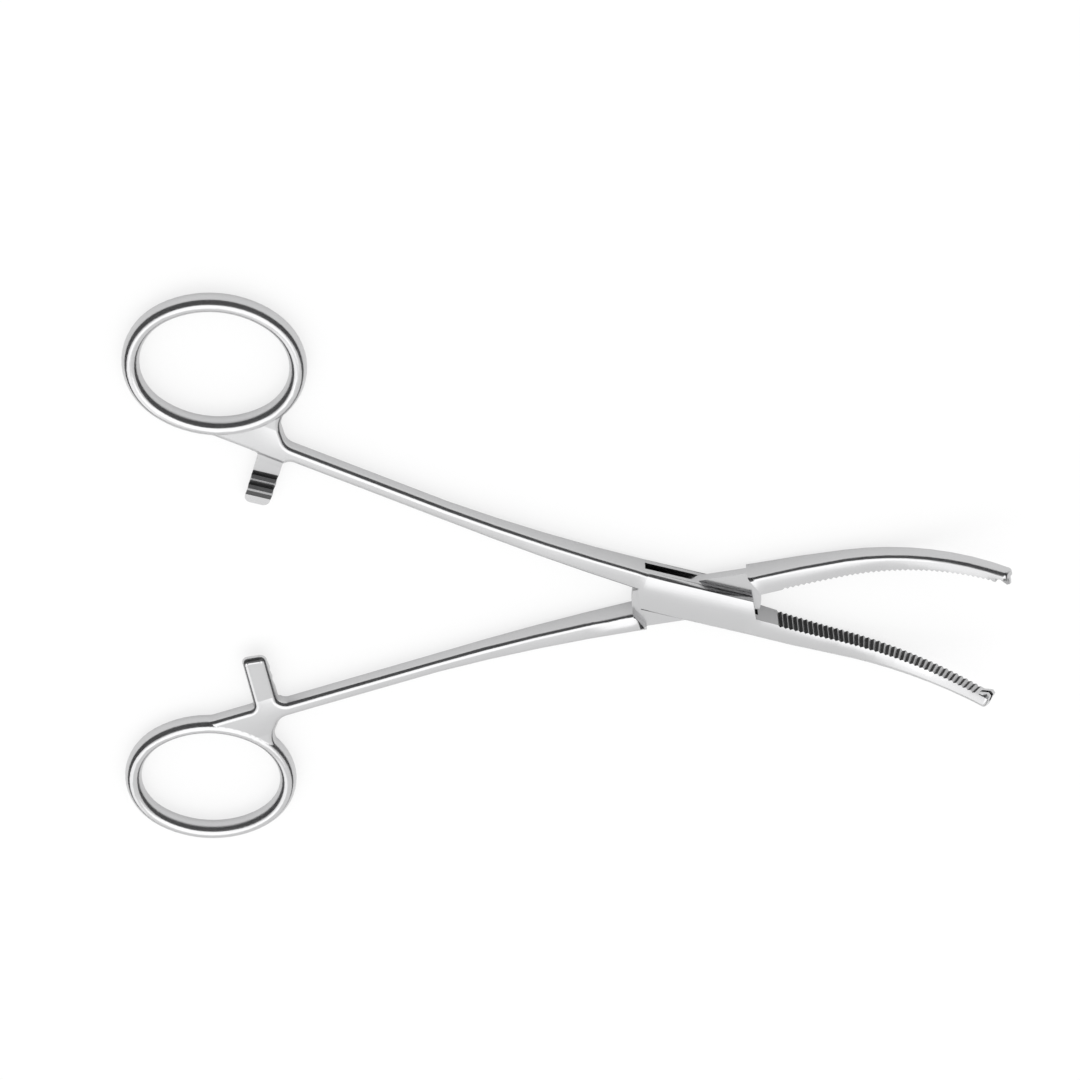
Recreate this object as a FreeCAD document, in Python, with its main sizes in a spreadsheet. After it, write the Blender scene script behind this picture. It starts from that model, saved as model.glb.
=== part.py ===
"""Curved box-lock hemostatic forceps: two forged arms and a joint rivet, in millimetres.

The row frame lies flat on the table: +Z up, +X along the middle line towards the jaws, origin on
the joint's axis at the underside of the box lock. Each arm is modelled shut, along +X and about
its own middle plane, and is then lifted and swung open by its Placement. The female arm has its
ring on the +Y side and its jaw on the -Y side, the male arm the other way round.
"""
import FreeCAD, Part
import math
import os
import re
import Sketcher

Vector = FreeCAD.Vector
Rotation = FreeCAD.Rotation
Placement = FreeCAD.Placement

NEAR = 1e-4
UP = Vector(0, 0, 1)

# Straight stretches that stand in for the shank's bow and for the jaw's bend.
SHANK_STEPS = 4
JAW_STEPS = 8

document = FreeCAD.newDocument("Forceps")

SIZES = {
    # joint and box lock
    "half_opening": 13.45,
    "box_thickness": 4.7,
    "box_half_width": 3.9,
    "box_half_length": 10.6,
    "step_run": 1.95,
    "box_edge_radius": 0.8,
    "slot_thickness": 1.7,
    "slot_radius": 11.1,
    "lock_clearance": 0.08,
    "shoulder_clearance": 0.55,
    "closed_gap": 0.1,
    # rivet
    "rivet_radius": 1.6,
    "rivet_head_radius": 2.1,
    "rivet_head_depth": 0.5,
    "rivet_clearance": 0.05,
    # shank
    "shank_end_x": -46.0,
    "shank_end_y": 5.6,
    "shank_angle": 9.1,
    "shank_width": 2.7,
    "shank_thickness": 3.1,
    "shank_edge_radius": 1.05,
    "shank_middle_width": 3.2,
    "shank_middle_thickness": 3.7,
    "shank_middle_bow": 0.45,
    # finger ring
    "ring_x": -89.9,
    "ring_y": 23.1,
    "ring_half_length": 13.6,
    "ring_half_breadth": 11.95,
    "ring_end_radius": 11.2,
    "ring_turn": 10.3,
    "ring_width": 2.9,
    "ring_thickness": 3.7,
    "ring_overlap": 0.25,
    # web between ring, shank and ratchet
    "crotch_x": -74.8,
    "crotch_radius": 2.6,
    "crotch_wall_x": -79.2,
    "crotch_wall_y": 19.0,
    "crotch_top_radius": 4.2,
    "web_x": -90.0,
    "web_y": 10.6,
    "web_end_y": 8.8,
    "web_radius": 7.0,
    # ratchet
    "ratchet_x": -76.6,
    "ratchet_width": 4.3,
    "ratchet_reach": 2.2,
    "ratchet_root_radius": 1.4,
    "ratchet_tip_radius": 1.15,
    "ratchet_clearance": 0.05,
    "ratchet_cut_margin": 0.45,
    "tooth_pitch": 2.1,
    "tooth_depth": 0.9,
    "tooth_ramp": 1.9,
    "tooth_first_crest": 1.15,
    # jaw
    "jaw_middle_thickness": 4.0,
    "jaw_bend_x": 26.0,
    "jaw_bend_radius": 44.2,
    "jaw_bend_angle": 37.0,
    "jaw_bend_width": 3.5,
    "jaw_bend_thickness": 3.45,
    "jaw_tip_width": 2.2,
    "jaw_tip_thickness": 2.5,
    "jaw_edge_radius": 0.9,
    "jaw_nose_radius": 0.6,
    "jaw_bow": 0.8,
    "serration_start": 15.2,
    "serration_end": 2.6,
    "serration_pitch": 0.93,
    "serration_depth": 0.32,
    "serration_width": 0.86,
    # teeth at the tip
    "tip_tooth_length": 1.9,
    "tip_tooth_height": 0.75,
    "tip_tooth_slope_run": 0.6,
    "tip_tooth_slope_drop": 0.3,
    "tip_tooth_width": 0.75,
    "middle_tooth_width": 0.5,
    "tip_tooth_clearance": 0.125,
}

sheet = document.addObject("Spreadsheet::Sheet", "Sizes")
for row, (alias, value) in enumerate(SIZES.items(), start=1):
    sheet.set(f"A{row}", alias)
    sheet.set(f"B{row}", str(value))
    sheet.setAlias(f"B{row}", alias)
document.recompute()


def formula(text):
    """A formula with the sheet's names written in full, as expressions need them."""
    return re.sub(r"[a-z_]+", lambda word: "Sizes." + word[0] if word[0] in SIZES else word[0], text)


def number(text):
    """What a formula in the sheet's names comes to."""
    return float(sheet.evalExpression(formula(text)))


def bind(target, path, text):
    """Tie one property of an object to a formula in the sheet's names."""
    target.setExpression(path, formula(text))


# Lengths and places that several pieces share, as formulas in the sheet's names.
TIP_X = "(jaw_bend_x + jaw_bend_radius * sin(jaw_bend_angle))"
TIP_Z = "(jaw_bend_radius * (1 - cos(jaw_bend_angle)))"
TONGUE = "(slot_thickness - 2 * rivet_clearance)"
TOOTH_LOW = "(-(tooth_depth / 2) - ratchet_clearance)"
TOOTH_HIGH = "(tooth_depth / 2 - ratchet_clearance)"
SHANK_EDGE = "(shank_width / 2 / cos(shank_angle))"
DISC_OFFSET = "(ring_width / 2 - ring_overlap)"
RING_REACH = "(ring_half_length - ring_end_radius)"
RING_REST = "(ring_half_breadth - ring_end_radius)"
RING_DROP = f"(({RING_REACH}^2 - {RING_REST}^2) / (2 * {RING_REST}))"


def jaw_gap(x):
    """How far a jaw's inner face stands off the middle plane when the tips meet."""
    rise = f"4 * jaw_bow * ({x} - box_half_length) * ({TIP_X} - {x})"
    return f"(closed_gap + {rise} / ({TIP_X} - box_half_length)^2)"


def shank_line(x):
    """Where the straight rear stretch of the shank has its middle line."""
    return f"(shank_end_y + (shank_end_x - ({x})) * tan(shank_angle))"


def blend(share, front, middle, rear):
    """A size that runs smoothly from a front value through a middle one to a rear one."""
    near_front = f"{front} * (1 - {share}) * (1 - 2 * {share})"
    near_middle = f"{middle} * 4 * {share} * (1 - {share})"
    near_rear = f"{rear} * {share} * (2 * {share} - 1)"
    return f"({near_front} + {near_middle} + {near_rear})"


def new_sketch(body, name, role):
    """An empty sketch on one of the body's origin planes."""
    sketch = body.newObject("Sketcher::SketchObject", name)
    plane = next(feature for feature in body.Origin.OriginFeatures if feature.Role == role)
    sketch.AttachmentSupport = (plane, [""])
    sketch.MapMode = "FlatFace"
    return sketch


def move_sketch(sketch, base):
    """Shift a sketch by three formulas, given in its own plane's directions."""
    for letter, text in zip("xyz", base):
        bind(sketch, f"AttachmentOffset.Base.{letter}", text)


def turn_sketch(sketch, axis, angle):
    """Turn a sketch about an axis of its own plane by a formula in degrees."""
    sketch.AttachmentOffset = Placement(Vector(0, 0, 0), Rotation(axis, number(angle)))
    bind(sketch, "AttachmentOffset.Rotation.Angle", angle)


def constrain(sketch, text, kind, *references):
    """Add a dimension to a sketch and tie it to a formula."""
    index = sketch.addConstraint(Sketcher.Constraint(kind, *references, number(text)))
    bind(sketch, f"Constraints[{index}]", text)


def pin_point(sketch, geometry, end, point):
    """Hold one end of a line at a point given as two formulas."""
    constrain(sketch, point[0], "DistanceX", -1, 1, geometry, end)
    constrain(sketch, point[1], "DistanceY", -1, 1, geometry, end)


def at(point):
    return Vector(number(point[0]), number(point[1]), 0)


def join_arc(sketch, line, following, centre, radius):
    """An arc from the end of one line to the start of the next, about a centre point."""
    start = sketch.getPoint(line, 2)
    end = sketch.getPoint(following, 1)
    middle = at(centre) + ((start + end) / 2 - at(centre)).normalize() * number(radius)
    arc = sketch.addGeometry(Part.Arc(start, middle, end), False)
    near_end = min((1, 2), key=lambda place: (sketch.getPoint(arc, place) - start).Length)
    sketch.addConstraint(Sketcher.Constraint("Coincident", line, 2, arc, near_end))
    sketch.addConstraint(Sketcher.Constraint("Coincident", following, 1, arc, 3 - near_end))
    constrain(sketch, radius, "Radius", arc)


def draw_outline(sketch, stretches):
    """A closed outline of straight stretches: start, end, and the arc to the next one or None."""
    lines = [
        sketch.addGeometry(Part.LineSegment(at(start), at(end)), False)
        for start, end, arc in stretches
    ]
    for line, following, (start, end, arc) in zip(lines, lines[1:] + lines[:1], stretches):
        pin_point(sketch, line, 1, start)
        if arc:
            pin_point(sketch, line, 2, end)
            join_arc(sketch, line, following, *arc)
        else:
            sketch.addConstraint(Sketcher.Constraint("Coincident", line, 2, following, 1))


def draw_polygon(sketch, points):
    """A closed outline with a sharp corner at each point."""
    draw_outline(sketch, [(start, end, None) for start, end in zip(points, points[1:] + points[:1])])


def draw_circle(sketch, radius):
    circle = sketch.addGeometry(Part.Circle(Vector(0, 0, 0), UP, number(radius)), False)
    sketch.addConstraint(Sketcher.Constraint("Coincident", circle, 3, -1, 1))
    constrain(sketch, radius, "Radius", circle)


def ring_joints(offset):
    """Where the arcs of the ring's oval meet, a formula's distance outside its middle line."""
    share = f"((ring_end_radius + {offset}) / ({RING_REST} + {RING_DROP}))"
    x, y = f"({RING_REACH} * (1 + {share}))", f"({RING_DROP} * {share})"
    end, top = f"(ring_half_length + {offset})", f"(ring_half_breadth + {offset})"
    return [
        (end, "0"), (x, y), ("0", top), (f"-{x}", y),
        (f"-{end}", "0"), (f"-{x}", f"-{y}"), ("0", f"-{top}"), (x, f"-{y}"),
    ]


def draw_oval(sketch, offset):
    """The ring's oval about the origin: two arcs round each end and two flatter ones along each side."""
    right, left = ((f"{way}{RING_REACH}", "0", f"ring_end_radius + {offset}") for way in ("", "-"))
    upper, lower = (
        ("0", f"{way}{RING_DROP}", f"ring_half_breadth + {RING_DROP} + {offset}") for way in ("-", ""))
    joints = ring_joints(offset)
    arcs = []
    for joint, following, (x, y, radius) in zip(
            joints, joints[1:] + joints[:1], [right, upper, upper, left, left, lower, lower, right]):
        start, end, centre = at(joint), at(following), at((x, y))
        middle = centre + ((start + end) / 2 - centre).normalize() * number(radius)
        arc = sketch.addGeometry(Part.Arc(start, middle, end), False)
        pin_point(sketch, arc, 1, joint)
        constrain(sketch, radius, "Radius", arc)
        arcs.append(arc)
    for arc, following in zip(arcs, arcs[1:] + arcs[:1]):
        sketch.addConstraint(Sketcher.Constraint("Coincident", arc, 2, following, 1))


def draw_ellipse(sketch, half_height, half_width):
    """An upright ellipse about the sketch's origin."""
    top = Vector(0, number(half_height), 0)
    right = Vector(number(half_width), 0, 0)
    ellipse = sketch.addGeometry(Part.Ellipse(top, right, Vector(0, 0, 0)), False)
    sketch.exposeInternalGeometry(ellipse)
    sketch.addConstraint(Sketcher.Constraint("Coincident", ellipse, 3, -1, 1))
    sketch.addConstraint(Sketcher.Constraint("Vertical", ellipse + 1))
    constrain(sketch, f"2 * ({half_height})", "Distance", ellipse + 1)
    constrain(sketch, f"2 * ({half_width})", "Distance", ellipse + 2)


def draw_bar(sketch, side, inner, outer, half, radius, inner_radius=None):
    """A bar's cross-section between an inner and an outer wall, with rounded outer corners."""
    cut = inner_radius or "0"
    outer_flat = f"{outer} - {side} * ({radius})"
    inner_flat = f"{inner} + {side} * ({cut})"
    low, high = f"-({half})", f"{half}"
    outer_low, outer_high = f"{radius} - ({half})", f"{half} - ({radius})"
    inner_low, inner_high = f"{cut} - ({half})", f"{half} - ({cut})"
    inner_arcs = [None, None]
    if inner_radius:
        inner_arcs = [((inner_flat, inner_high), inner_radius), ((inner_flat, inner_low), inner_radius)]
    draw_outline(sketch, [
        ((inner_flat, low), (outer_flat, low), ((outer_flat, outer_low), radius)),
        ((outer, outer_low), (outer, outer_high), ((outer_flat, outer_high), radius)),
        ((outer_flat, high), (inner_flat, high), inner_arcs[0]),
        ((inner, inner_high), (inner, inner_low), inner_arcs[1]),
    ])


def add_solid(body, kind, name, sketch, length, sides="Symmetric", reverse=False):
    """A pad or pocket of a sketch."""
    feature = body.newObject(f"PartDesign::{kind}", name)
    feature.Profile = sketch
    feature.SideType = sides
    feature.Reversed = reverse
    bind(feature, "Length", length)
    return feature


def add_loft(body, name, sections):
    feature = body.newObject("PartDesign::AdditiveLoft", name)
    feature.Profile = sections[0]
    feature.Sections = sections[1:]
    feature.Ruled = True


def round_edges(body, name, radius, wanted):
    """Round the edges of the body so far that pass a test."""
    document.recompute()
    base = body.Tip
    names = [f"Edge{index}" for index, edge in enumerate(base.Shape.Edges, start=1) if wanted(edge)]
    fillet = body.newObject("PartDesign::Fillet", name)
    fillet.Base = (base, names)
    bind(fillet, "Radius", radius)


def is_level(edge):
    return edge.BoundBox.ZLength < NEAR


def is_upright(edge):
    return edge.BoundBox.ZLength > NEAR and edge.BoundBox.XLength + edge.BoundBox.YLength < NEAR


def stands_at(edge, point):
    """Whether an upright edge stands at a point given as two formulas."""
    centre = edge.CenterOfMass
    return is_upright(edge) and (Vector(centre.x, centre.y, 0) - at(point)).Length < 0.01


def is_long_box_edge(edge):
    """An outer edge of the box lock that runs along it at the full half width."""
    centre = edge.CenterOfMass
    along_x = is_level(edge) and edge.BoundBox.YLength < NEAR
    at_side = abs(abs(centre.y) - number("box_half_width")) < NEAR
    return along_x and at_side and abs(abs(centre.z) - number("box_thickness / 2")) < NEAR


def add_shank(body, side):
    """The tapered shank, bowed a little between the box lock and its straight rear stretch."""
    front_y = "((closed_gap + box_half_width) / 2)"
    middle_y = f"(({front_y} + shank_end_y) / 2 - shank_middle_bow)"
    sections = []
    for step in range(SHANK_STEPS + 1):
        share = f"({step} / {SHANK_STEPS})"
        middle_line = blend(share, front_y, middle_y, "shank_end_y")
        width = blend(share, "(box_half_width - closed_gap)", "shank_middle_width", "shank_width")
        thickness = blend(share, "box_thickness", "shank_middle_thickness", "shank_thickness")
        radius = f"(box_edge_radius + (shank_edge_radius - box_edge_radius) * {share})"
        section = new_sketch(body, f"shank_section_{step}", "YZ_Plane")
        turn_sketch(section, Vector(0, -number(side), 0), f"shank_angle * {share}")
        move_sketch(section, (
            f"{side} * {middle_line}", "0", f"{share} * (shank_end_x + box_half_length) - box_half_length"))
        draw_bar(section, side, f"{side} * (-{width} / 2)", f"{side} * {width} / 2", f"{thickness} / 2",
                 radius, radius)
        sections.append(section)
    add_loft(body, "shank", sections)


def add_jaw(body, side):
    """The jaw: straight from the box lock, then curved upwards as it narrows to the tip."""
    across = "1" if side == "(-1)" else "(-1)"
    stations = [
        ("box_half_length", "0", "0", "(box_half_width - closed_gap)", "box_thickness", "box_edge_radius"),
        ("((box_half_length + jaw_bend_x) / 2)", "0", "0",
         "((box_half_width + jaw_bend_width) / 2)", "jaw_middle_thickness",
         "(box_edge_radius + jaw_edge_radius) / 2"),
        ("jaw_bend_x", "0", "0", "jaw_bend_width", "jaw_bend_thickness", "jaw_edge_radius"),
    ]
    for step in range(1, JAW_STEPS + 1):
        share = f"({step} / {JAW_STEPS})"
        turn = f"(jaw_bend_angle * {share})"
        stations.append((
            f"(jaw_bend_x + jaw_bend_radius * sin({turn}))",
            f"(jaw_bend_radius * (1 - cos({turn})))",
            turn,
            f"(jaw_bend_width + (jaw_tip_width - jaw_bend_width) * {share})",
            f"(jaw_bend_thickness + (jaw_tip_thickness - jaw_bend_thickness) * {share})",
            "jaw_edge_radius",
        ))
    sections = []
    for index, (x, z, turn, width, thickness, radius) in enumerate(stations):
        section = new_sketch(body, f"jaw_section_{index}", "YZ_Plane")
        if turn != "0":
            turn_sketch(section, Vector(-1, 0, 0), turn)
        move_sketch(section, ("0", z, x))
        draw_bar(section, across, f"{across} * {jaw_gap(x)}", f"{across} * ({jaw_gap(x)} + {width})",
                 f"{thickness} / 2", radius)
        sections.append(section)
    add_loft(body, "jaw", sections)


def add_tip_profile(body, name, level, points):
    """A sketch beside the jaw's end: x along the jaw, y across it, at a height along the tip face."""
    sketch = new_sketch(body, name, "XY_Plane")
    turn_sketch(sketch, Vector(0, -1, 0), "jaw_bend_angle")
    move_sketch(sketch, (
        f"{TIP_X} - ({level}) * sin(jaw_bend_angle)", "0", f"{TIP_Z} + ({level}) * cos(jaw_bend_angle)"))
    draw_polygon(sketch, points)
    return sketch


def add_tip_teeth(body, side, teeth, teeth_width, notches, notch_width):
    """Teeth that rise from the inner face at the tip, and notches for the other jaw's teeth."""
    floor = "(closed_gap + tip_tooth_height + tip_tooth_clearance)"
    notch = [
        ("-tip_tooth_length - 2 * tip_tooth_clearance", f"{side} * tip_tooth_height"),
        ("-tip_tooth_length - tip_tooth_clearance", f"{side} * (-{floor})"),
        ("tip_tooth_length", f"{side} * (-{floor})"),
        ("tip_tooth_length", f"{side} * tip_tooth_height"),
    ]
    tooth = [
        ("-tip_tooth_length", f"{side} * (-closed_gap)"),
        ("-tip_tooth_length", f"{side} * (-closed_gap - tip_tooth_clearance)"),
        ("0", f"{side} * (-closed_gap - tip_tooth_clearance)"),
        ("0", f"{side} * (tip_tooth_height - tip_tooth_slope_drop - closed_gap)"),
        ("-tip_tooth_slope_run", f"{side} * (tip_tooth_height - closed_gap)"),
    ]
    for index, level in enumerate(notches):
        sketch = add_tip_profile(body, f"notch_profile_{index}", level, notch)
        add_solid(body, "Pocket", f"notch_{index}", sketch, notch_width)
    for index, level in enumerate(teeth):
        sketch = add_tip_profile(body, f"tooth_profile_{index}", level, tooth)
        add_solid(body, "Pad", f"tooth_{index}", sketch, teeth_width)


def is_nose_edge(edge):
    """An edge of the jaw's end face, but not the one along its inner wall."""
    centre = edge.CenterOfMass
    tip = Vector(number(TIP_X), 0, number(TIP_Z))
    along = Vector(number("cos(jaw_bend_angle)"), 0, number("sin(jaw_bend_angle)"))
    on_end = all(abs((vertex.Point - tip).dot(along)) < NEAR for vertex in edge.Vertexes)
    return on_end and abs((centre - tip).dot(along)) < NEAR and abs(centre.y) > number("closed_gap") + NEAR


def rivet_outline():
    """Half of the rivet from the side: a shaft that spreads into a flush head at each end."""
    return [
        ("0", "-(box_thickness / 2)"),
        ("rivet_head_radius", "-(box_thickness / 2)"),
        ("rivet_radius", "rivet_head_depth - box_thickness / 2"),
        ("rivet_radius", "box_thickness / 2 - rivet_head_depth"),
        ("rivet_head_radius", "box_thickness / 2"),
        ("0", "box_thickness / 2"),
    ]


def turn_rivet_outline(body, kind, name):
    sketch = new_sketch(body, f"{name}_outline", "XZ_Plane")
    draw_polygon(sketch, rivet_outline())
    feature = body.newObject(f"PartDesign::{kind}", name)
    feature.Profile = sketch
    feature.ReferenceAxis = (sketch, ["V_Axis"])
    feature.Angle = 360


def make_female_core():
    """Shank, slotted box and jaw of the arm that holds the rivet."""
    body = document.addObject("PartDesign::Body", "female_core")
    box = new_sketch(body, "box_outline", "XY_Plane")
    draw_polygon(box, [
        ("-box_half_length", "closed_gap"),
        ("step_run - box_half_length", "-box_half_width"),
        ("box_half_length", "-box_half_width"),
        ("box_half_length", "-closed_gap"),
        ("box_half_length - step_run", "box_half_width"),
        ("-box_half_length", "box_half_width"),
    ])
    add_solid(body, "Pad", "box", box, "box_thickness")
    round_edges(body, "box_edges", "box_edge_radius", is_long_box_edge)
    add_shank(body, "1")
    add_jaw(body, "1")
    round_edges(body, "nose", "jaw_nose_radius", is_nose_edge)
    slot = new_sketch(body, "slot_outline", "XY_Plane")
    draw_circle(slot, "slot_radius")
    add_solid(body, "Pocket", "slot", slot, "slot_thickness")
    turn_rivet_outline(body, "Groove", "rivet_seat")
    spacing = "(middle_tooth_width / 2 + tip_tooth_clearance + tip_tooth_width / 2)"
    add_tip_teeth(
        body, "1", [spacing, f"-{spacing}"], "tip_tooth_width",
        ["0"], "middle_tooth_width + 2 * tip_tooth_clearance")
    return body


def make_male_core():
    """Shank, tongue and jaw of the arm that passes through the slot."""
    body = document.addObject("PartDesign::Body", "male_core")
    reach = "(slot_radius - lock_clearance)"
    end_x = f"sqrt({reach}^2 - box_half_width^2)"
    tongue = new_sketch(body, "tongue_outline", "XY_Plane")
    draw_outline(tongue, [
        ((f"-{end_x}", "-box_half_width"), (end_x, "-box_half_width"), (("0", "0"), reach)),
        ((end_x, "box_half_width"), (f"-{end_x}", "box_half_width"), (("0", "0"), reach)),
    ])
    add_solid(body, "Pad", "tongue", tongue, TONGUE)
    for name, way in (("jaw_block", "1"), ("shank_block", "(-1)")):
        block = new_sketch(body, f"{name}_outline", "XY_Plane")
        draw_polygon(block, [
            (f"{way} * (box_half_length - 2 * step_run)", f"{way} * closed_gap"),
            (f"{way} * box_half_length", f"{way} * closed_gap"),
            (f"{way} * box_half_length", f"{way} * box_half_width"),
            (f"{way} * (box_half_length - 2 * step_run)", f"{way} * box_half_width"),
        ])
        add_solid(body, "Pad", name, block, "box_thickness")
    round_edges(body, "shoulder_edges", "box_edge_radius", is_long_box_edge)
    add_shank(body, "(-1)")
    add_jaw(body, "(-1)")
    round_edges(body, "nose", "jaw_nose_radius", is_nose_edge)
    shoulder = "(box_half_length + shoulder_clearance)"
    for name, level, reverse in (("front", "1", True), ("back", "(-1)", False)):
        face = new_sketch(body, f"{name}_relief_outline", "XY_Plane")
        move_sketch(face, ("0", "0", f"{level} * {TONGUE} / 2"))
        draw_polygon(face, [
            (f"2 * step_run - {shoulder}", "-2 * box_half_width"),
            (f"2 * step_run + {shoulder}", "-2 * box_half_width"),
            (f"{shoulder} - 2 * step_run", "2 * box_half_width"),
            (f"-{shoulder} - 2 * step_run", "2 * box_half_width"),
        ])
        add_solid(body, "Pocket", f"{name}_relief", face, "box_thickness", "One side", reverse)
    hole = new_sketch(body, "rivet_hole_outline", "XY_Plane")
    draw_circle(hole, "rivet_radius + rivet_clearance")
    add_solid(body, "Pocket", "rivet_hole", hole, "box_thickness")
    recess = "tip_tooth_width + 2 * tip_tooth_clearance + middle_tooth_width"
    spacing = f"(middle_tooth_width / 2 + ({recess}) / 2)"
    add_tip_teeth(body, "(-1)", ["0"], "middle_tooth_width", [spacing, f"-{spacing}"], recess)
    return body


def ring_sketch(body, name, side, offset):
    """A sketch of the finger ring's oval in its place, a distance outside its middle line."""
    sketch = new_sketch(body, name, "XY_Plane")
    turn_sketch(sketch, Vector(0, 0, number(side)), "ring_turn")
    move_sketch(sketch, ("ring_x", f"{side} * ring_y", "0"))
    draw_oval(sketch, offset)
    return sketch


def make_head(name, side):
    """Rear end of an arm: straight shank, web, finger ring and ratchet bar, cut from one plate."""
    body = document.addObject("PartDesign::Body", name)
    half = "shank_thickness / 2"
    bar_rear = "(ratchet_x - ratchet_width / 2)"
    bar_front = "(ratchet_x + ratchet_width / 2)"
    end_run = "shank_width / 2 * sin(shank_angle)"
    end_rise = "shank_width / 2 * cos(shank_angle)"

    def place(x, y):
        return (x, f"{side} * ({y})")

    crotch = place("crotch_x", f"{shank_line('crotch_x')} + {SHANK_EDGE}")
    root_rear = place(bar_rear, "web_end_y")
    root_front = place(bar_front, f"{shank_line(bar_front)} - {SHANK_EDGE}")
    tip_rear = place(bar_rear, "-ratchet_reach")
    tip_front = place(bar_front, "-ratchet_reach")
    corners = [
        place(f"shank_end_x + {end_run}", f"shank_end_y + {end_rise}"),
        crotch,
        place("crotch_wall_x", "crotch_wall_y"),
        place("web_x", "web_y"),
        root_rear,
        tip_rear,
        tip_front,
        root_front,
        place(f"shank_end_x - {end_run}", f"shank_end_y - {end_rise}"),
    ]
    disc = ring_sketch(body, "disc_outline", side, DISC_OFFSET)
    add_solid(body, "Pad", "disc", disc, "shank_thickness")
    web = new_sketch(body, "web_outline", "XY_Plane")
    draw_polygon(web, corners)
    add_solid(body, "Pad", "web", web, "shank_thickness")

    ring = at(("ring_x", f"{side} * ring_y"))
    turn = Rotation(UP, number(f"{side} * ring_turn"))
    seams = [ring + turn.multVec(at(joint)) for joint in ring_joints(DISC_OFFSET)]

    def is_ring_corner(edge):
        centre = edge.CenterOfMass
        flat = Vector(centre.x, centre.y, 0)
        outside = number("ring_half_breadth") < (flat - ring).Length < number("ring_half_length + ring_width")
        return is_upright(edge) and outside and all((flat - seam).Length > 0.01 for seam in seams)

    def is_top_corner(edge):
        return is_ring_corner(edge) and edge.CenterOfMass.x > number("ring_x + ring_half_length / 2")

    def is_web_corner(edge):
        return is_ring_corner(edge) and edge.CenterOfMass.x < number("ring_x + ring_half_length / 2")

    round_edges(body, "crotch", "crotch_radius", lambda edge: stands_at(edge, crotch))
    round_edges(body, "crotch_top", "crotch_top_radius", is_top_corner)
    round_edges(body, "web_corner", "web_radius", is_web_corner)
    round_edges(body, "ratchet_root", "ratchet_root_radius",
                lambda edge: stands_at(edge, root_rear) or stands_at(edge, root_front))
    round_edges(body, "ratchet_tip", "ratchet_tip_radius",
                lambda edge: stands_at(edge, tip_rear) or stands_at(edge, tip_front))
    end_middle = at(("shank_end_x", f"{side} * shank_end_y"))

    def is_outer_edge(edge):
        centre = edge.CenterOfMass
        at_end = (Vector(centre.x, centre.y, 0) - end_middle).Length < 0.01
        return is_level(edge) and abs(abs(centre.z) - number(half)) < NEAR and not at_end

    round_edges(body, "outer_edges", "shank_edge_radius", is_outer_edge)
    opening = ring_sketch(body, "opening_outline", side, "0")
    add_solid(body, "Pocket", "opening", opening, "2 * shank_thickness")
    add_ring(body, side)
    cut_ratchet(body, side, bar_rear, bar_front)
    return body


def add_ring(body, side):
    """The finger ring: an oval bar swept round the ring's middle line."""
    spine = ring_sketch(body, "ring_line", side, "0")
    section = new_sketch(body, "ring_section", "XZ_Plane")
    turn_sketch(section, Vector(0, number(side), 0), "ring_turn")
    move_sketch(section, (
        "ring_x + ring_half_length * cos(ring_turn)", "0",
        f"-1 * {side} * (ring_y + ring_half_length * sin(ring_turn))"))
    draw_ellipse(section, "ring_thickness / 2", "ring_width / 2")
    ring = body.newObject("PartDesign::AdditivePipe", "ring")
    ring.Profile = section
    ring.Spine = spine


def cut_ratchet(body, side, bar_rear, bar_front):
    """Take away one half of the bar's thickness and leave ramped teeth on the other."""
    lock_run = "(tooth_pitch - tooth_ramp)"
    above = "shank_thickness"
    last_crest = "(tooth_first_crest + 2 * tooth_pitch)"
    profile = [("-2 * ratchet_reach", TOOTH_LOW), ("tooth_first_crest - tooth_ramp", TOOTH_LOW)]
    for index in (0, 1):
        crest = f"(tooth_first_crest + {index} * tooth_pitch)"
        profile += [(crest, TOOTH_HIGH), (f"{crest} + {lock_run}", TOOTH_LOW)]
    profile += [(last_crest, TOOTH_HIGH), (last_crest, above), ("-2 * ratchet_reach", above)]
    teeth = new_sketch(body, "ratchet_profile", "YZ_Plane")
    move_sketch(teeth, ("0", "0", "ratchet_x"))
    draw_polygon(teeth, [(f"{side} * ({y})", f"{side} * {z}") for y, z in profile])
    add_solid(body, "Pocket", "ratchet_teeth", teeth, "ratchet_width + 2 * ratchet_cut_margin")
    rear, front = f"({bar_rear} - ratchet_cut_margin)", f"({bar_front} + ratchet_cut_margin)"
    below = f"({SHANK_EDGE} + (shank_thickness / 2 - {TOOTH_HIGH}) / cos(shank_angle))"
    flat = new_sketch(body, "ratchet_flat_outline", "XY_Plane")
    move_sketch(flat, ("0", "0", f"{side} * {TOOTH_HIGH}"))
    draw_polygon(flat, [
        (rear, f"{side} * ({last_crest} - {lock_run})"),
        (front, f"{side} * ({last_crest} - {lock_run})"),
        (front, f"{side} * ({shank_line(front)} - {below})"),
        (rear, f"{side} * ({shank_line(rear)} - {below})"),
    ])
    cut = add_solid(body, "Pocket", "ratchet_flat", flat, above, "One side", side == "1")
    cut.TaperAngle = 45


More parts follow.
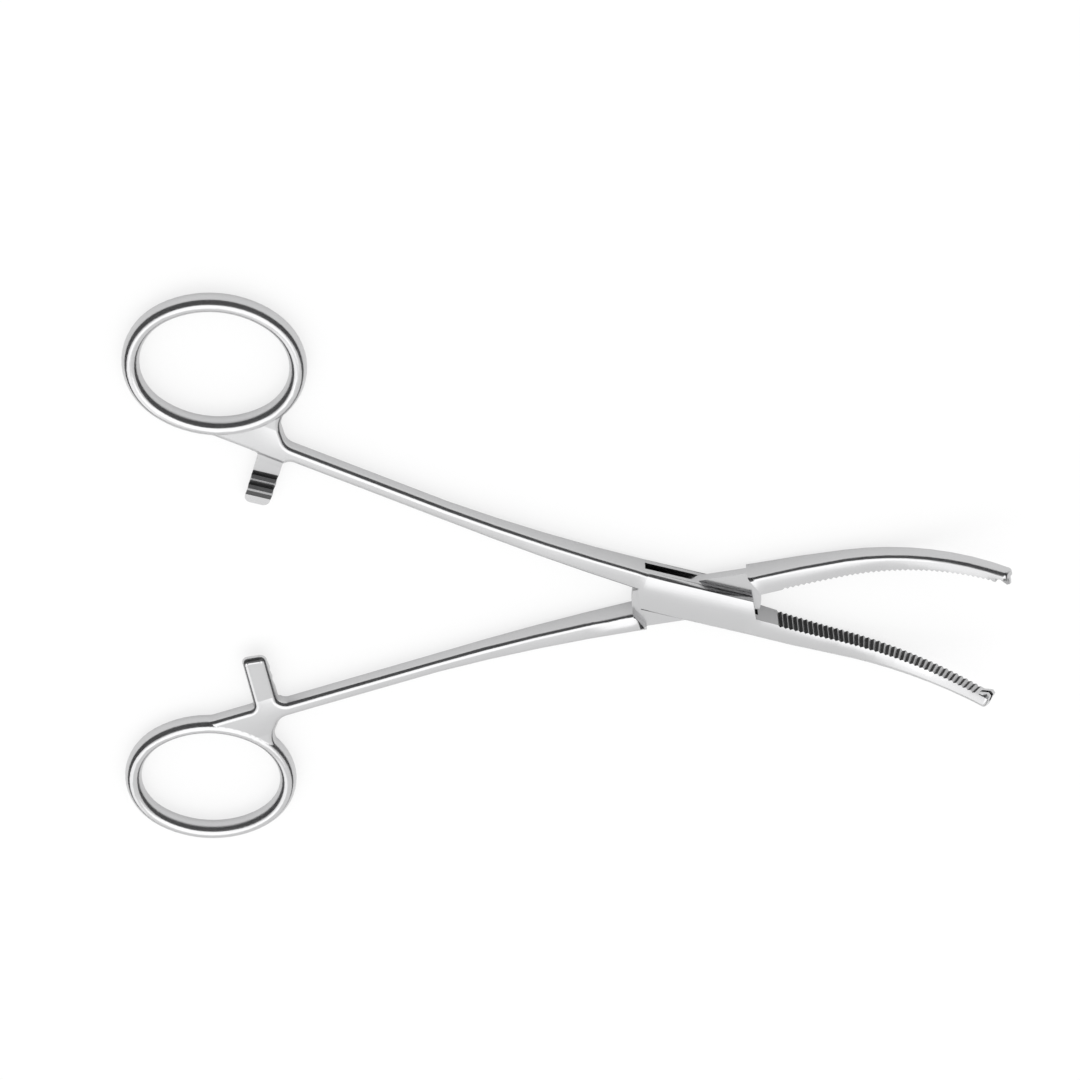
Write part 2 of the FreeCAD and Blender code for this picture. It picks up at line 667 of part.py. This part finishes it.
def make_serrations(name, side):
    """Grooves across a jaw's inner face, each square to the jaw's middle line."""
    bend_x, radius = number("jaw_bend_x"), number("jaw_bend_radius")
    pitch, depth = number("serration_pitch"), number("serration_depth")
    half = number("serration_width") / 2
    reach = number("box_thickness")
    length = bend_x + radius * math.radians(number("jaw_bend_angle"))
    first = number("serration_start")
    count = int((length - number("serration_end") - first) / pitch) + 1
    grooves = []
    for index in range(count):
        along = first + index * pitch
        turn = max(along - bend_x, 0) / radius
        x = min(along, bend_x) + radius * math.sin(turn)
        wall = number(jaw_gap(str(round(x, 4))))
        outline = [(-half, depth), (-half, 0), (0, -depth), (half, 0), (half, depth)]
        points = [Vector(step, side * (rise - wall), -reach) for step, rise in outline]
        face = Part.Face(Part.makePolygon(points + points[:1]))
        groove = face.extrude(Vector(0, 0, 2 * reach))
        turned = Rotation(Vector(0, -1, 0), math.degrees(turn))
        groove.Placement = Placement(Vector(x, 0, radius * (1 - math.cos(turn))), turned)
        grooves.append(groove)
    cutter = document.addObject("Part::Feature", name)
    cutter.Shape = Part.makeCompound(grooves)
    return cutter


def finish_arm(name, core, head, side):
    """Fuse an arm's front and rear, cut the serrations and swing it open about the joint."""
    fused = document.addObject("Part::MultiFuse", f"{name}_forging")
    fused.Shapes = [core, head]
    arm = document.addObject("Part::Cut", name)
    arm.Base = fused
    arm.Tool = make_serrations(f"{name}_serrations", side)
    arm.Label = name
    arm.Placement = Placement(Vector(0, 0, 0), Rotation(Vector(0, 0, -side), number("half_opening")))
    bind(arm, "Placement.Rotation.Angle", "half_opening")
    bind(arm, "Placement.Base.z", "box_thickness / 2")
    return arm


female_arm = finish_arm("female_arm", make_female_core(), make_head("female_head", "1"), 1)
male_arm = finish_arm("male_arm", make_male_core(), make_head("male_head", "(-1)"), -1)

joint_rivet = document.addObject("PartDesign::Body", "joint_rivet")
joint_rivet.Label = "joint_rivet"
turn_rivet_outline(joint_rivet, "Revolution", "rivet")
bind(joint_rivet, "Placement.Base.z", "box_thickness / 2")

document.recompute()

for item in document.Objects:
    states = " ".join(item.State)
    if "Invalid" in states or "Error" in states:
        raise RuntimeError(f"{item.Name} ({item.Label}) failed: {states}")

nodes = [female_arm, male_arm, joint_rivet]
for node in nodes:
    if node.Shape.isNull() or not node.Shape.isValid() or len(node.Shape.Solids) != 1:
        raise RuntimeError(f"{node.Label} isn't one sound solid")

os.makedirs("parts", exist_ok=True)
for node in nodes:
    node.Shape.exportStep(f"parts/{node.Label}.step")
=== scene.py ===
from math import asin, cos, radians, sin

import bpy
from mathutils import Matrix, Vector


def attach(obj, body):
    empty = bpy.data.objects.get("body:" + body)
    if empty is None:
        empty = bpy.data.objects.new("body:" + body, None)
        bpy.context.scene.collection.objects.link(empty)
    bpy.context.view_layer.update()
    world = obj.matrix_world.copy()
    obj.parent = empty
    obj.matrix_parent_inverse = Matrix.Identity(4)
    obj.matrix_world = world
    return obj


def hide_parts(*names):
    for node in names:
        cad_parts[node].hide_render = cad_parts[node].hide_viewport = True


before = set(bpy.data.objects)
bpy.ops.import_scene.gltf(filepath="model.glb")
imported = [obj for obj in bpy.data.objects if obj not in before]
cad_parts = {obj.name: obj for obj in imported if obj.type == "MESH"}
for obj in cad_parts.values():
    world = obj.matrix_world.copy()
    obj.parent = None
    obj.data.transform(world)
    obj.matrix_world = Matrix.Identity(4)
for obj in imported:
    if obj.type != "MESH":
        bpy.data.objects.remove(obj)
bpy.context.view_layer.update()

# Each arm is turned this far, in degrees, from the middle of the open forceps.
HALF_OPENING = 13.45

# The arm lies along its own X axis, in metres, with the rivet at 0. The jaw bends upwards from here.
JAW_BEND_START = 0.026
JAW_BEND_RADIUS = 0.0442

# The middle of the arm's upper face, as pairs of place along the arm and place across it.
MIDDLE_LINE = (
    (-0.080, 0.0111), (-0.046, 0.0056), (-0.028, 0.0033), (-0.0116, 0.0021),
    (-0.0098, 0.0), (0.0098, 0.0),
    (0.0116, -0.0019), (0.022, -0.0024), (0.034, -0.0023), (0.044, -0.0017), (0.053, -0.0008),
)
LINE_START = -0.090
LINE_LENGTH = 0.150
LINE_LOW = -0.003
LINE_HEIGHT = 0.016

# How strongly the ground faces are crowned, per metre, how much more so on the jaw, and how far across.
# The crown grows from nothing to its full strength over one stretch of the arm, and the jaw's over another.
CROWN = 21.0
JAW_CROWN = 24.0
CROWN_REACH = 0.0037
CROWN_GROWS = (-0.084, -0.072)
JAW_CROWN_GROWS = (0.011, 0.022)

# The jaw's inner face, and the stretch of it that is serrated.
INNER_FACE_START = 0.0112
SERRATIONS_START = 0.0145
SERRATIONS_END = 0.0508

# The ratchet bar: its two sides along the arm, and how far its teeth reach across.
RATCHET_SIDES = (-0.0795, -0.074)
RATCHET_REACH = 0.0065

# The box lock's slot with a little over on each side, and the tongue in it.
SLOT_HALF_LENGTH = 0.0125
SLOT_HALF_WIDTH = 0.0045
SLOT_FLOOR = 0.0014
SLOT_ROOF = 0.0033
WALL_START = 0.003
TONGUE_HALF_THICKNESS = 0.0007

# The ratchet's slopes get dark painted shade up to this far below or above the middle of the steel's
# thickness.
MIDDLE_HEIGHT = 0.00235
SHADED_RAMP = 0.00012

# The order in which an arm's copy holds its steels; the groove, ridge and ratchet greys are painted shade.
POLISH, GROOVE, RIDGE, RATCHET, TONGUE = range(5)

# Triangles within this distance and angle of each other are merged, and curves are smooth up to this one.
MERGE_DISTANCE = 0.000001
MERGE_ANGLE = 0.3
SMOOTH_ANGLE = 28

# The camera, fitted to both rings, the box lock and the tips, in metres, degrees and millimetres.
CAMERA_PLACE = (-0.057077, 0.378847, 0.510366)
CAMERA_TURN = (-36.006, -0.950, 3.326)
CAMERA_LENS = 124.59
SENSOR_WIDTH = 36

# The sky's light on matt surfaces, and how much of the table is plain white to the eye and in reflections.
SKY_LIGHT = 0.84
WHITE_SEEN = 0.72
WHITE_MIRRORED = 0.30

# The grey card's radius and height, the gap under it, and where its slanting upper edge is cut.
CARD_RADIUS = 0.6
CARD_HEIGHT = 1.3
CARD_GAP = 0.001
CARD_CUT_HEIGHT = 0.62
CARD_CUT_SLOPE = 1.12


# Camera, light and table

def aim_camera():
    """The photograph's view: from above and from the side of the upper finger ring, rolled over."""
    bpy.ops.object.camera_add(location=CAMERA_PLACE, rotation=[radians(turn) for turn in CAMERA_TURN])
    camera = bpy.context.object
    camera.name = "photo_camera"
    camera.data.lens = CAMERA_LENS
    camera.data.sensor_width = SENSOR_WIDTH
    camera.data.clip_start = 0.01
    camera.data.clip_end = 20
    bpy.context.scene.camera = camera


def add_softbox(name, place, target, size, power):
    """A large square lamp that faces a point of the table."""
    towards = Vector(target) - Vector(place)
    turn = towards.to_track_quat("-Z", "Y").to_euler()
    bpy.ops.object.light_add(type="AREA", location=place, rotation=turn)
    lamp = bpy.context.object
    lamp.name = name
    lamp.data.shape = "SQUARE"
    lamp.data.size = size
    lamp.data.energy = power


def add_math(nodes, links, operation, first, second):
    """A math node of two inputs, each of them a number or another node's output."""
    node = nodes.new("ShaderNodeMath")
    node.operation = operation
    for socket, value in zip(node.inputs, (first, second)):
        if isinstance(value, (int, float)):
            socket.default_value = value
        else:
            links.new(value, socket)
    return node.outputs[0]


def paint_sky():
    """White to the eye and in reflections, and a plain level of light on matt surfaces."""
    world = bpy.data.worlds.new("studio_sky")
    bpy.context.scene.world = world
    world.use_nodes = True
    nodes, links = world.node_tree.nodes, world.node_tree.links
    nodes.clear()
    level = nodes.new("ShaderNodeMapRange")
    level.inputs["To Min"].default_value = SKY_LIGHT
    level.inputs["To Max"].default_value = 1.0
    seen = nodes.new("ShaderNodeLightPath")
    shown = add_math(nodes, links, "MAXIMUM", seen.outputs["Is Camera Ray"], seen.outputs["Is Glossy Ray"])
    shown = add_math(nodes, links, "MAXIMUM", shown, seen.outputs["Is Transmission Ray"])
    links.new(shown, level.inputs["Value"])
    glow = nodes.new("ShaderNodeBackground")
    glow.inputs["Color"].default_value = (1.0, 1.0, 1.0, 1.0)
    links.new(level.outputs["Result"], glow.inputs["Strength"])
    out = nodes.new("ShaderNodeOutputWorld")
    links.new(glow.outputs[0], out.inputs["Surface"])


def plain_material(name, colour, roughness):
    """A material of one even colour and roughness."""
    material = bpy.data.materials.new(name)
    material.use_nodes = True
    shader = material.node_tree.nodes["Principled BSDF"]
    shader.inputs["Base Color"].default_value = (*colour, 1.0)
    shader.inputs["Roughness"].default_value = roughness
    return material


def white_paper():
    """Matt white paper that the eye sees as a white ground, with the shadows kept."""
    paper = plain_material("white_paper", (0.97, 0.97, 0.97), 0.9)
    nodes, links = paper.node_tree.nodes, paper.node_tree.links
    matt = nodes["Principled BSDF"]
    matt.inputs["Specular IOR Level"].default_value = 0.1
    white = nodes.new("ShaderNodeEmission")
    white.inputs["Color"].default_value = (1.0, 1.0, 1.0, 1.0)
    white.inputs["Strength"].default_value = 1.0
    seen = nodes.new("ShaderNodeLightPath")
    mirrored = add_math(nodes, links, "MAXIMUM",
                        seen.outputs["Is Glossy Ray"], seen.outputs["Is Transmission Ray"])
    mirrored = add_math(nodes, links, "MULTIPLY", mirrored, WHITE_MIRRORED)
    looked_at = add_math(nodes, links, "MULTIPLY", seen.outputs["Is Camera Ray"], WHITE_SEEN)
    share = add_math(nodes, links, "ADD", mirrored, looked_at)
    mixed = nodes.new("ShaderNodeMixShader")
    links.new(share, mixed.inputs["Fac"])
    links.new(matt.outputs[0], mixed.inputs[1])
    links.new(white.outputs[0], mixed.inputs[2])
    links.new(mixed.outputs[0], nodes["Material Output"].inputs["Surface"])
    return paper


def lay_table():
    """A wide white table top under the forceps."""
    bpy.ops.mesh.primitive_plane_add(size=4.0, location=(0.0, 0.0, -0.0002))
    table = bpy.context.object
    table.name = "table_top"
    table.data.materials.append(white_paper())


def hang_grey_card():
    """A dark grey card round the table, high on the upper ring's side and cut away across from it.

    Only the polished steel sees it, which gives the rounded edges their dark lines.
    """
    bpy.ops.mesh.primitive_cylinder_add(vertices=96, radius=CARD_RADIUS, depth=CARD_HEIGHT,
                                        end_fill_type="NOTHING",
                                        location=(0.0, 0.0, CARD_GAP + CARD_HEIGHT / 2))
    card = bpy.context.object
    card.name = "grey_card"
    bpy.ops.object.mode_set(mode="EDIT")
    bpy.ops.mesh.select_all(action="SELECT")
    bpy.ops.mesh.bisect(plane_co=(0.0, 0.0, CARD_CUT_HEIGHT), plane_no=(0.0, -CARD_CUT_SLOPE, 1.0),
                        clear_outer=True)
    bpy.ops.object.mode_set(mode="OBJECT")
    card.data.materials.append(plain_material("grey_felt", (0.08, 0.08, 0.082), 0.9))
    card.visible_camera = False
    card.visible_diffuse = False
    card.visible_shadow = False
    card.visible_transmission = False


# Steel

def arm_coordinates(nodes, links, side):
    """Places along, across and above the arm; side is 1 for the female arm and -1 for the male arm."""
    place = nodes.new("ShaderNodeTexCoord")
    turned = nodes.new("ShaderNodeMapping")
    turned.inputs["Rotation"].default_value = (0.0, 0.0, radians(HALF_OPENING))
    turned.inputs["Scale"].default_value = (1.0, side, 1.0)
    links.new(place.outputs["Object"], turned.inputs["Vector"])
    return turned.outputs["Vector"]


def crown_height(nodes, links, vector):
    """The low crown that hand polishing leaves across the flat faces, highest on the middle line."""
    parts = nodes.new("ShaderNodeSeparateXYZ")
    links.new(vector, parts.inputs[0])
    along = nodes.new("ShaderNodeMapRange")
    along.inputs["From Min"].default_value = LINE_START
    along.inputs["From Max"].default_value = LINE_START + LINE_LENGTH
    links.new(parts.outputs["X"], along.inputs["Value"])
    line = nodes.new("ShaderNodeFloatCurve")
    curve = line.mapping.curves[0]
    pairs = [((x - LINE_START) / LINE_LENGTH, (y - LINE_LOW) / LINE_HEIGHT) for x, y in MIDDLE_LINE]
    curve.points[0].location = pairs[0]
    curve.points[1].location = pairs[-1]
    for pair in pairs[1:-1]:
        curve.points.new(*pair)
    for point in curve.points:
        point.handle_type = "VECTOR"
    line.mapping.extend = "HORIZONTAL"
    line.mapping.update()
    links.new(along.outputs["Result"], line.inputs["Value"])
    middle = add_math(nodes, links, "MULTIPLY", line.outputs[0], LINE_HEIGHT)
    across = add_math(nodes, links, "SUBTRACT", parts.outputs["Y"], middle)
    across = add_math(nodes, links, "SUBTRACT", across, LINE_LOW)
    across = add_math(nodes, links, "MINIMUM", across, CROWN_REACH)
    across = add_math(nodes, links, "MAXIMUM", across, -CROWN_REACH)
    square = add_math(nodes, links, "MULTIPLY", across, across)
    strengths = []
    for (start, end), strength in ((CROWN_GROWS, CROWN), (JAW_CROWN_GROWS, JAW_CROWN)):
        share = nodes.new("ShaderNodeMapRange")
        share.inputs["From Min"].default_value = start
        share.inputs["From Max"].default_value = end
        share.inputs["To Max"].default_value = -strength
        links.new(parts.outputs["X"], share.inputs["Value"])
        strengths.append(share.outputs["Result"])
    return add_math(nodes, links, "MULTIPLY", square, add_math(nodes, links, "ADD", *strengths))


def polished_steel(name, side):
    """Bright polished stainless steel: crowned faces, fine polishing lines, smears and softer patches."""
    material = bpy.data.materials.new(name)
    material.use_nodes = True
    nodes, links = material.node_tree.nodes, material.node_tree.links
    steel = nodes["Principled BSDF"]
    steel.inputs["Metallic"].default_value = 1.0
    steel.inputs["Base Color"].default_value = (0.57, 0.57, 0.575, 1.0)
    arm_place = arm_coordinates(nodes, links, side)
    stretched = nodes.new("ShaderNodeMapping")
    stretched.inputs["Scale"].default_value = (120.0, 2600.0, 1400.0)
    links.new(arm_place, stretched.inputs["Vector"])
    lines = nodes.new("ShaderNodeTexNoise")
    lines.inputs["Scale"].default_value = 1.0
    lines.inputs["Detail"].default_value = 3.0
    links.new(stretched.outputs["Vector"], lines.inputs["Vector"])
    smears = nodes.new("ShaderNodeTexNoise")
    smears.inputs["Scale"].default_value = 90.0
    smears.inputs["Detail"].default_value = 4.0
    links.new(arm_place, smears.inputs["Vector"])
    mixed = add_math(nodes, links, "ADD", add_math(nodes, links, "MULTIPLY", lines.outputs["Fac"], 0.35),
                     smears.outputs["Fac"])
    softness = nodes.new("ShaderNodeMapRange")
    softness.inputs["From Min"].default_value = 0.35
    softness.inputs["From Max"].default_value = 0.95
    softness.inputs["To Min"].default_value = 0.17
    softness.inputs["To Max"].default_value = 0.26
    links.new(mixed, softness.inputs["Value"])
    links.new(softness.outputs["Result"], steel.inputs["Roughness"])
    crown = nodes.new("ShaderNodeBump")
    crown.inputs["Strength"].default_value = 1.0
    crown.inputs["Distance"].default_value = 1.0
    links.new(crown_height(nodes, links, arm_place), crown.inputs["Height"])
    grain = nodes.new("ShaderNodeBump")
    grain.inputs["Strength"].default_value = 0.06
    grain.inputs["Distance"].default_value = 0.00005
    links.new(lines.outputs["Fac"], grain.inputs["Height"])
    links.new(crown.outputs["Normal"], grain.inputs["Normal"])
    links.new(grain.outputs["Normal"], steel.inputs["Normal"])
    return material


def plain_darker_steel(name, grey, roughness):
    """Plain steel of one grey and roughness, duller than the polish and without its crown; its dark and mid
    greys are painted shade in the serrations, ratchet and slot.
    """
    material = plain_material(name, (grey, grey, grey * 1.01), roughness)
    material.node_tree.nodes["Principled BSDF"].inputs["Metallic"].default_value = 1.0
    return material


# Places on the arm that get the plainer steels: painted shade in the serrations, the ratchet, the slot and
# the gaps beside the tongue, and the tongue itself. Each takes a face's middle and normal in the arm's own
# directions, with the closing side of the jaw towards plus Y on both arms.

def in_groove(middle, normal):
    """The flank of a jaw serration that looks back to the box lock, which gets nearly black painted shade.
    """
    if not SERRATIONS_START < middle.x < SERRATIONS_END:
        return False
    turn = asin(max(0.0, min(1.0, (middle.x - JAW_BEND_START) / JAW_BEND_RADIUS)))
    along = normal.x * cos(turn) + normal.z * sin(turn)
    return along < -0.3 and normal.y > 0.3


def on_ridge(middle, normal):
    """The flank of a jaw serration that looks to the tip, or the plain inner face behind the first one:
    dull cut steel painted a mid grey that stands for the serrations' half-shade.
    """
    return INNER_FACE_START < middle.x < SERRATIONS_END and normal.y > 0.5 and middle.y > -0.0025


def on_ratchet_ramp(middle, normal):
    """The long slope of a ratchet tooth, part of which gets dark painted shade."""
    on_bar = RATCHET_SIDES[0] < middle.x < RATCHET_SIDES[1] and abs(middle.y) < RATCHET_REACH
    return on_bar and abs(normal.z) > 0.7 and normal.y < -0.25


def in_slot(middle, normal):
    """The floor and roof of the box lock's slot, which get dark painted shade, or the two sides of the
    tongue that fills it.
    """
    return (abs(middle.x) < SLOT_HALF_LENGTH and abs(middle.y) < SLOT_HALF_WIDTH
            and SLOT_FLOOR < middle.z < SLOT_ROOF and abs(normal.z) > 0.9)


def over_tongue(middle, normal):
    """The narrow walls of the box lock that stand above and below the tongue where it comes out, which get
    nearly black painted shade in the female arm.
    """
    return (0.0 < middle.x < INNER_FACE_START and middle.y > WALL_START
            and normal.y > 0.8 and abs(normal.z) < 0.3
            and abs(middle.z - MIDDLE_HEIGHT) > TONGUE_HALF_THICKNESS)


def merged_copy(node, name, material):
    """A copy of a rigid node with its triangles merged, each flat face whole."""
    bpy.ops.object.select_all(action="DESELECT")
    piece = bpy.data.objects.new(name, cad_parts[node].data.copy())
    bpy.context.collection.objects.link(piece)
    piece.select_set(True)
    bpy.context.view_layer.objects.active = piece
    bpy.ops.object.mode_set(mode="EDIT")
    bpy.ops.mesh.select_all(action="SELECT")
    bpy.ops.mesh.remove_doubles(threshold=MERGE_DISTANCE)
    bpy.ops.mesh.dissolve_limited(angle_limit=radians(MERGE_ANGLE))
    bpy.ops.mesh.select_all(action="DESELECT")
    bpy.ops.object.mode_set(mode="OBJECT")
    piece.data.materials.clear()
    piece.data.materials.append(material)
    return piece


def smooth_curves(piece):
    """Smooth over curves, crisp at the edges and where the steel or its painted shade changes, and flat on
    flat faces.
    """
    bpy.ops.object.shade_smooth_by_angle(angle=radians(SMOOTH_ANGLE))
    steels_by_edge = {}
    for face in piece.data.polygons:
        for edge in face.edge_keys:
            steels_by_edge.setdefault(edge, set()).add(face.material_index)
    for edge in piece.data.edges:
        if len(steels_by_edge[edge.key]) > 1:
            edge.use_edge_sharp = True
    flats = piece.modifiers.new("flat_faces_stay_flat", "WEIGHTED_NORMAL")
    flats.keep_sharp = True
    flats.weight = 80
    bpy.ops.object.modifier_apply(modifier=flats.name)


def arm_directions(face, side):
    """A face's middle and normal along the arm, as the places above take them."""
    to_arm = Matrix.Rotation(radians(HALF_OPENING * side), 3, "Z")
    middle = to_arm @ face.center
    normal = to_arm @ face.normal
    middle.y *= side
    normal.y *= side
    return middle, normal


def steel_at(middle, normal, side, shade_edge):
    """Which of the arm's steels a face has. The slot's floor and roof in the female arm get the ratchet's
    dark painted shade.
    """
    female = side > 0
    if in_groove(middle, normal) or (female and over_tongue(middle, normal)):
        return GROOVE
    if on_ridge(middle, normal):
        return RIDGE
    if on_ratchet_ramp(middle, normal) and (middle.z - shade_edge) * side < 0:
        return RATCHET
    if in_slot(middle, normal):
        return RATCHET if female else TONGUE
    return POLISH


def dress_arm(node, body, side, polish, extra_steels):
    """The polished copy that stands for one arm, with painted shade on groove, ridge and ratchet, and the
    tongue's plainer steel.
    """
    piece = merged_copy(node, "polished_" + node, polish)
    for steel in extra_steels:
        piece.data.materials.append(steel)
    for face in piece.data.polygons:
        face.select = on_ratchet_ramp(*arm_directions(face, side))
    bpy.ops.object.mode_set(mode="EDIT")
    # The cut splits each ratchet slope where its painted shade ends.
    shade_edge = MIDDLE_HEIGHT + side * SHADED_RAMP
    bpy.ops.mesh.bisect(plane_co=(0.0, 0.0, shade_edge), plane_no=(0.0, 0.0, 1.0))
    bpy.ops.object.mode_set(mode="OBJECT")
    for face in piece.data.polygons:
        face.material_index = steel_at(*arm_directions(face, side), side, shade_edge)
    smooth_curves(piece)
    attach(piece, body)
    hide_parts(node)


def dress_rivet(polish):
    """The rivet, ground flush and polished over together with the female arm."""
    piece = merged_copy("joint_rivet", "polished_rivet", polish)
    smooth_curves(piece)
    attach(piece, "female_half")
    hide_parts("joint_rivet")


aim_camera()
paint_sky()
add_softbox("overhead_softbox", place=(0.0, -0.02, 1.0), target=(0.0, 0.0, 0.0), size=1.08, power=3.0)
add_softbox("jaw_softbox", place=(-0.52, -0.56, 0.66), target=(0.0, 0.0, 0.0), size=0.7, power=0.8)
lay_table()
hang_grey_card()

female_steel = polished_steel("female_arm_steel", 1)
male_steel = polished_steel("male_arm_steel", -1)
darker_steels = (
    # Nearly black painted shade in the serration grooves and in the gaps beside the tongue; the roughness
    # is that of dull cut steel.
    plain_darker_steel("groove_painted_shade", grey=0.03, roughness=0.4),
    # Mid-grey painted half-shade on the serrations' other flank and the inner face, the lighter partner of
    # the groove's painted shade.
    plain_darker_steel("ridge_painted_half_shade", grey=0.44, roughness=0.30),
    # Dark painted shade on part of each ratchet slope and in the female arm's slot.
    plain_darker_steel("ratchet_painted_shade", grey=0.11, roughness=0.38),
    plain_darker_steel("tongue_steel", grey=0.54, roughness=0.22),
)
dress_arm("female_arm", "female_half", 1, female_steel, darker_steels)
dress_arm("male_arm", "male_half", -1, male_steel, darker_steels)
dress_rivet(female_steel)

bpy.context.scene.view_settings.view_transform = "Standard"
